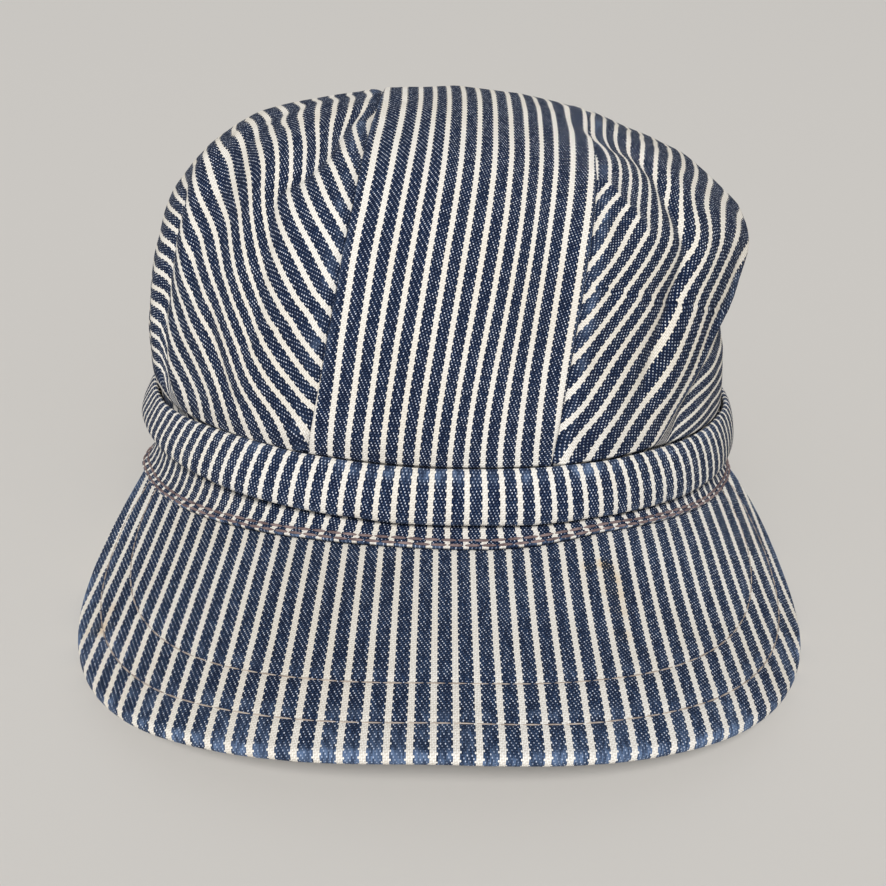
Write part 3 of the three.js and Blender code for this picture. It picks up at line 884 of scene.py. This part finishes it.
def visor_shape(across, along):
    """Over the top from the root, round the edge and back under."""
    share = across * 2 - 1
    ends = np.sqrt(np.clip(1 - (np.maximum(np.abs(share) - 0.975, 0) / 0.025) ** 2, 0, 1))
    half = VISOR_THICKNESS / 2
    roll = half * 1.15
    on_top, under = along < VISOR_TOP_ENDS, along > VISOR_UNDER_STARTS
    edge_share = np.clip(along, VISOR_TOP_ENDS, VISOR_UNDER_STARTS) - VISOR_TOP_ENDS
    turn = edge_share / (VISOR_UNDER_STARTS - VISOR_TOP_ENDS) * math.pi
    top_share = np.clip(along / VISOR_TOP_ENDS, 0, 1)
    low_share = np.clip((along - VISOR_UNDER_STARTS) / (1 - VISOR_UNDER_STARTS), 0, 1)
    run = visor_top(share, 0)[2]
    inward_top = roll + (run - roll) * (1 - top_share) ** 1.25
    inward_low = roll + (run - roll) * (1 - (1 - low_share) ** 1.25)
    on_edge = roll * (1 - np.sin(turn))
    inward = np.where(on_top, inward_top, np.where(under, inward_low, on_edge))
    side, ahead, _ = visor_top(share, inward)
    lift = -half + half * np.cos(turn) * ends
    relief = visor_lift(inward)
    lift = lift + np.where(along < 0.5, relief, -0.5 * relief) * ends
    lift = lift + visor_waves(side, ahead) * ends
    points = visor_point(side, ahead, lift)
    round_edge = -visor_top(share, roll)[1] - roll * turn
    back_under = round_edge - (inward - roll)
    thread = np.where(on_top, -ahead, np.where(under, back_under, round_edge)) / STRIPE
    rolled = np.exp(-((along - 0.5) / 0.055) ** 4)
    rubbed = 1.5 * rolled + 0.3 * smooth_step(inward, 14, 4) * (along < 0.5)
    for row in VISOR_ROWS:
        rubbed = rubbed + 0.25 * bell(inward, row + 2.2, 1.2) * (along < 0.5)
    return points, side / STRIPE - 0.59, thread, rubbed


# Stitches

def stitch_rows(name, rows, radius):
    """One object of short threads. Each row is an array of points with outward normals and the
    length of its stitches."""
    mesh = bmesh.new()
    for points, normals, length in rows:
        points, normals = to_packed(points), turned(normals)
        step = np.linalg.norm(np.diff(points, axis=0), axis=-1)
        path = path_of(step)
        count = max(1, round(path[-1] / (length * METRE)))
        for k in range(count):
            ends = [path[-1] * (k + share) / count for share in (0.03, 0.97)]
            start, end = [np.array([np.interp(d, path, points[:, i]) for i in range(3)]) for d in ends]
            up = np.array([np.interp(sum(ends) / 2, path, normals[:, i]) for i in range(3)])
            aim = Vector(end - start).normalized()
            up = Vector(up).normalized()
            side = aim.cross(up).normalized()
            up = side.cross(aim).normalized()
            centre = Vector((start + end) / 2) + up * (radius * METRE * 0.25)
            turn = Matrix((side, up, aim)).transposed().to_4x4()
            size = Matrix.Diagonal((radius * METRE, radius * METRE * 0.8,
                                    float(np.linalg.norm(end - start)) / 2, 1))
            bmesh.ops.create_uvsphere(mesh, u_segments=8, v_segments=6, radius=1,
                                      matrix=Matrix.Translation(centre) @ turn @ size)
    return object_of(name, mesh)


def flange_row(place, reach):
    """Points along the flange over the visor at a place on the rim strip's face."""
    azimuth = np.linspace(-reach, reach, 400)
    grow, z = rim_face(azimuth, np.full(azimuth.shape, place))
    near, below = rim_face(azimuth, np.full(azimuth.shape, place - 0.03))
    points = ring_point(azimuth, grow, z)
    down = points - ring_point(azimuth, near, below)
    along = np.gradient(points, axis=0)
    normals = unit(np.cross(down, along))
    normals *= np.sign(normals[:, 2:3])
    return points, normals


def visor_row(inward, reach):
    share = np.linspace(-reach, reach, 500)
    side, ahead, run = visor_top(share, np.full(share.shape, inward))
    lift = visor_lift(np.full(share.shape, inward)) + visor_waves(side, ahead)
    points = visor_point(side, ahead, lift)
    above = visor_point(side, ahead, lift + 1)
    keep = run > inward + 4
    return points[keep], (above - points)[keep]


# Materials

class Value:
    """A socket that adds Math nodes to its material when it is used in an expression."""

    def __init__(self, paint, socket):
        self.paint = paint
        self.socket = socket

    def math(self, operation, *others):
        return self.paint.node("ShaderNodeMath", {"operation": operation}, [self, *others])

    def __add__(self, other):
        return self.math("ADD", other)

    def __sub__(self, other):
        return self.math("SUBTRACT", other)

    def __mul__(self, other):
        return self.math("MULTIPLY", other)

    def __truediv__(self, other):
        return self.math("DIVIDE", other)

    def __rsub__(self, other):
        return self.paint.node("ShaderNodeMath", {"operation": "SUBTRACT"}, [other, self])

    def __pow__(self, power):
        return self.math("POWER", power)

    __radd__ = __add__
    __rmul__ = __mul__

    def floor(self):
        return self.math("FLOOR")

    def fraction(self):
        return self.math("FRACT")

    def size(self):
        return self.math("ABSOLUTE")

    def below(self, limit):
        return self.math("LESS_THAN", limit)

    def larger(self, other):
        return self.math("MAXIMUM", other)

    def held(self):
        """Kept from 0 to 1."""
        return self.math("MAXIMUM", 0).math("MINIMUM", 1)

    def step(self, low, high):
        """A smooth step from 0 at low to 1 at high."""
        settings = {"interpolation_type": "SMOOTHSTEP"}
        inputs = {"Value": self, "From Min": low, "From Max": high}
        return self.paint.node("ShaderNodeMapRange", settings, inputs)


class Paint:
    """A material and the nodes that its maker adds."""

    def __init__(self, name):
        self.material = bpy.data.materials.new(name)
        self.material.use_nodes = True
        self.tree = self.material.node_tree
        self.shader = self.tree.nodes["Principled BSDF"]

    def link(self, value, socket):
        if isinstance(value, Value):
            self.tree.links.new(value.socket, socket)
        else:
            socket.default_value = value

    def node(self, kind, settings, inputs, output=0):
        """Adds a node: its settings first, then its sockets by name or in order."""
        made = self.tree.nodes.new(kind)
        for name, value in settings.items():
            setattr(made, name, value)
        pairs = inputs.items() if isinstance(inputs, dict) else enumerate(inputs)
        for name, value in pairs:
            self.link(value, made.inputs[name])
        return Value(self, made.outputs[output])

    def layer(self, name):
        """The two coordinates that a cloth piece carries under a name."""
        place = self.node("ShaderNodeUVMap", {"uv_map": name}, [])
        parts = self.tree.nodes.new("ShaderNodeSeparateXYZ")
        self.link(place, parts.inputs[0])
        return Value(self, parts.outputs[0]), Value(self, parts.outputs[1])

    def bump(self, strength, distance, height):
        """Roughens the surface by a height."""
        relief = {"Strength": strength, "Distance": distance, "Height": height}
        self.link(self.node("ShaderNodeBump", {}, relief), self.shader.inputs["Normal"])

    def mix(self, share, one, other, way="MIX"):
        """A blend of two colours."""
        made = self.tree.nodes.new("ShaderNodeMix")
        made.data_type = "RGBA"
        made.blend_type = way
        for value, index in ((share, 0), (one, 6), (other, 7)):
            self.link(value, made.inputs[index])
        return Value(self, made.outputs[2])

    def vector(self, x, y, z):
        return self.node("ShaderNodeCombineXYZ", {}, [x, y, z])

    def noise(self, vector, scale, detail=2.0, roughness=0.5):
        inputs = {"Vector": vector, "Scale": scale, "Detail": detail, "Roughness": roughness}
        return self.node("ShaderNodeTexNoise", {}, inputs)

    def scatter(self, vector):
        """One random value for each whole-number place."""
        return self.node("ShaderNodeTexWhiteNoise", {"noise_dimensions": "3D"}, {"Vector": vector})


def colour(red, green, blue):
    """A colour given as on a screen, from 0 to 255."""
    parts = []
    for part in (red, green, blue):
        share = part / 255
        parts.append(share / 12.92 if share <= 0.04045 else ((share + 0.055) / 1.055) ** 2.4)
    return (*parts, 1.0)


# Warp yarns in one stripe pair, white ones among them, and the height of one weft yarn.
YARNS = 14
WHITE_YARNS = 4
PICK = 0.60 / STRIPE


def denim(name, navy, worn_navy, wear):
    """Striped two-and-one twill: navy and white warp over a white weft that shows as small dashes
    in diagonal lines. wear is how far the navy is rubbed pale."""
    paint = Paint(name)
    u, v = paint.layer("cloth")
    rubbed, soiled = paint.layer("signs")
    body = paint.node("ShaderNodeTexCoord", {}, [], 3)

    wander = paint.noise(body, 260.0, 1.0)
    ends = u * YARNS + (wander - 0.5) * 0.5
    yarn = ends.floor()
    off = ends - yarn - 0.5
    from_white = (yarn + 0.5 - ((yarn + 7) / YARNS).floor() * YARNS).size()
    white = from_white.below(WHITE_YARNS / 2)

    beat = (v / PICK + yarn + (paint.noise(body, 180.0, 1.0) - 0.5) * 0.6) / 3
    turn = beat.fraction() * 3
    by_weft = (turn - 0.5) * (turn - 0.5)
    dash = (1 - off * off * 4.8 - by_weft * 8.6).held()
    wide_dash = (1 - off * off * 2.6 - by_weft * 4.6).held()
    float_place = (turn - 2) / 1.15
    bulge = (1 - off * off * 3.4 - float_place * float_place).held()

    chance = paint.scatter(paint.vector(yarn, beat.floor(), 0.0))
    streak = paint.noise(paint.vector(yarn * 1.7, v * 0.8, 0.0), 1.0, 2.0)
    patch = paint.noise(body, 22.0, 3.0, 0.6)
    rub = ((patch - 0.42) * 1.6 * wear + wear * 0.35).held()

    blue = paint.mix((rub * 0.6 + (streak - 0.5) * 0.6 + (chance - 0.5) * 0.3).held(), navy, worn_navy)
    # Painted shade: the navy is darkened in the grooves between the warp floats, where shade falls
    # between the yarns. depth is how far out of that painted shade a point lies.
    depth = (bulge * 1.5).held()
    groove_shade_navy = paint.mix(1.0, blue, (0.16, 0.19, 0.3, 1.0), "MULTIPLY")
    warp = paint.mix(depth, groove_shade_navy, blue)
    weft = paint.mix(chance, colour(108, 130, 166), colour(226, 232, 244))
    shows = (dash * 3.0).held() * (0.3 + chance * 0.7 + rub * 0.2).held()
    navy_side = paint.mix(shows, warp, weft)
    spot = paint.noise(body, 95.0, 3.0, 0.65)
    thin = (rubbed * (spot.step(0.42, 0.62) * 1.1 + 0.15)).held() * (0.15 + chance * 0.5)
    navy_side = paint.mix(thin, navy_side, colour(122, 146, 182))
    beside_white = from_white.below(WHITE_YARNS / 2 + 1)
    tooth = (wide_dash * 4.0).held() * beside_white * 0.95

    cream = paint.mix(patch.step(0.3, 0.7), colour(243, 237, 226), colour(252, 249, 243))
    tooth_side = paint.mix(tooth, navy_side, cream)
    # Painted shade: the cream is darkened in the grooves between the yarns, where shade falls. full is
    # how far out of that painted shade a point lies.
    shade = paint.mix(1.0, cream, (0.7, 0.66, 0.6, 1.0), "MULTIPLY")
    full = (wide_dash.larger(bulge) * 1.3).held() ** 0.7
    white_side = paint.mix(full * (0.85 + chance * 0.15), shade, cream)
    cloth = paint.mix(white, tooth_side, white_side)
    stained = paint.mix(1.0, cloth, (0.86, 0.6, 0.3, 1.0), "MULTIPLY")
    paint.link(paint.mix(soiled, cloth, stained), paint.shader.inputs["Base Color"])

    height = (bulge ** 0.5).larger((wide_dash * 0.7) ** 0.5)
    fuzz = paint.noise(body, 2600.0, 2.0)
    paint.bump(0.6, 0.00016, height + fuzz * 0.25)
    paint.link(0.92 - (dash * 0.1), paint.shader.inputs["Roughness"])
    paint.shader.inputs["Specular IOR Level"].default_value = 0.1
    paint.shader.inputs["Sheen Weight"].default_value = 0.02
    paint.shader.inputs["Sheen Roughness"].default_value = 0.6
    return paint.material


def thread_paint(name, one, other):
    """Sewing thread, faintly ribbed and uneven in colour."""
    paint = Paint(name)
    body = paint.node("ShaderNodeTexCoord", {}, [], 3)
    tone = paint.noise(body, 420.0, 2.0)
    paint.link(paint.mix(tone.step(0.3, 0.7), one, other), paint.shader.inputs["Base Color"])
    ridges = paint.noise(body, 3800.0, 1.0)
    paint.bump(0.4, 0.0001, ridges)
    paint.shader.inputs["Roughness"].default_value = 0.75
    return paint.material


# The pieces

crown_denim = denim("crown_denim", colour(21, 34, 60), colour(50, 75, 113), 0.3)
band_denim = denim("band_denim", colour(21, 35, 63), colour(56, 84, 122), 0.35)
visor_denim = denim("visor_denim", colour(22, 37, 63), colour(62, 92, 132), 0.5)
seam_thread = thread_paint("seam_thread", colour(98, 80, 80), colour(142, 122, 120))
edge_thread = thread_paint("edge_thread", colour(150, 135, 124), colour(190, 176, 162))

AXIS = (0, 0, 30)
strip = cloth_piece("crown_strip_cloth", 60, 280, strip_shape, AXIS, CLOTH)
left_shape = side_shape(-1, LEFT_STRIPES, LEFT_FOLD)
left = cloth_piece("crown_left_cloth", 210, 170, left_shape, AXIS, CLOTH)
right_shape = side_shape(1, RIGHT_STRIPES, RIGHT_FOLD)
right = cloth_piece("crown_right_cloth", 210, 170, right_shape, AXIS, CLOTH)
band = cloth_piece("band_cloth", 480, 45, band_shape, AXIS, 0, merge=True)
rim = cloth_piece("rim_cloth", 480, 50, rim_shape, AXIS, 0.9, merge=True)
visor = cloth_piece("visor_cloth", 300, 150, visor_shape, (0, -110, -60), 0, merge=True)

rim_stitches = stitch_rows("rim_stitches", [
    (*flange_row(0.86, 76), 4.0),
    (*flange_row(0.95, 76), 4.0),
], 0.4)
visor_stitches = stitch_rows("visor_stitches", [
    (*visor_row(VISOR_ROWS[0], 0.97), 4.4),
    (*visor_row(VISOR_ROWS[1], 0.985), 4.4),
], 0.2)

DRESSED = (
    (strip, "crown_centre_strip", "crown_denim", crown_denim),
    (left, "crown_side_left", "crown_denim", crown_denim),
    (right, "crown_side_right", "crown_denim", crown_denim),
    (band, "band", "band_denim", band_denim),
    (rim, "rim_strip", "band_denim", band_denim),
    (visor, "visor", "visor_denim", visor_denim),
)
for piece, node, slot, material in DRESSED:
    piece.data.materials.append(material)
    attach(piece, "root")
    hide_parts(node)
for piece, slot, material in (
    (rim_stitches, "band_denim", seam_thread),
    (visor_stitches, "visor_denim", edge_thread),
):
    piece.data.materials.append(material)
    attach(piece, "root")

# The floor, the lights and the camera

floor_mesh = bmesh.new()
bmesh.ops.create_grid(floor_mesh, x_segments=1, y_segments=1, size=12)
floor = object_of("floor", floor_mesh)
floor_paint = Paint("pale_floor")
floor_paint.shader.inputs["Base Color"].default_value = colour(214, 210, 204)
floor_paint.shader.inputs["Roughness"].default_value = 0.9
floor.data.materials.append(floor_paint.material)


def light_of(lamp, place, aim):
    """Hangs a lamp at a place, turned towards a point."""
    light = bpy.data.objects.new(lamp.name, lamp)
    light.location = place
    light.rotation_euler = (Vector(aim) - Vector(place)).to_track_quat("-Z", "Y").to_euler()
    bpy.context.scene.collection.objects.link(light)


key = bpy.data.lights.new("key_light", "SUN")
key.angle = math.radians(18)
key.energy = 3.08
light_of(key, (-0.14, -1.0, 1.0), (0, 0, 0))
fill = bpy.data.lights.new("fill_light", "AREA")
fill.size = 0.9
fill.energy = 0.2
light_of(fill, (0.9, -0.8, 0.6), (0, 0, 0.06))

world = bpy.data.worlds.new("studio")
world.use_nodes = True
world.node_tree.nodes["Background"].inputs[0].default_value = (0.95, 0.97, 1.0, 1.0)
world.node_tree.nodes["Background"].inputs[1].default_value = 0.21
bpy.context.scene.world = world
bpy.context.scene.view_settings.view_transform = "Standard"

camera_data = bpy.data.cameras.new("camera")
camera_data.sensor_fit = "HORIZONTAL"
camera_data.sensor_width = 36
camera_data.lens = CAMERA_LENS
camera = bpy.data.objects.new("camera", camera_data)
look = Vector(CAMERA_LOOK).normalized()
level_right = look.cross(Vector((0, 0, 1))).normalized()
level_up = level_right.cross(look)
view_right = math.cos(CAMERA_ROLL) * level_right + math.sin(CAMERA_ROLL) * level_up
view_up = -math.sin(CAMERA_ROLL) * level_right + math.cos(CAMERA_ROLL) * level_up
axes = Matrix((view_right, view_up, -look)).transposed().to_4x4()
camera.matrix_world = Matrix.Translation(CAMERA_PLACE) @ axes
bpy.context.scene.collection.objects.link(camera)
bpy.context.scene.camera = camera
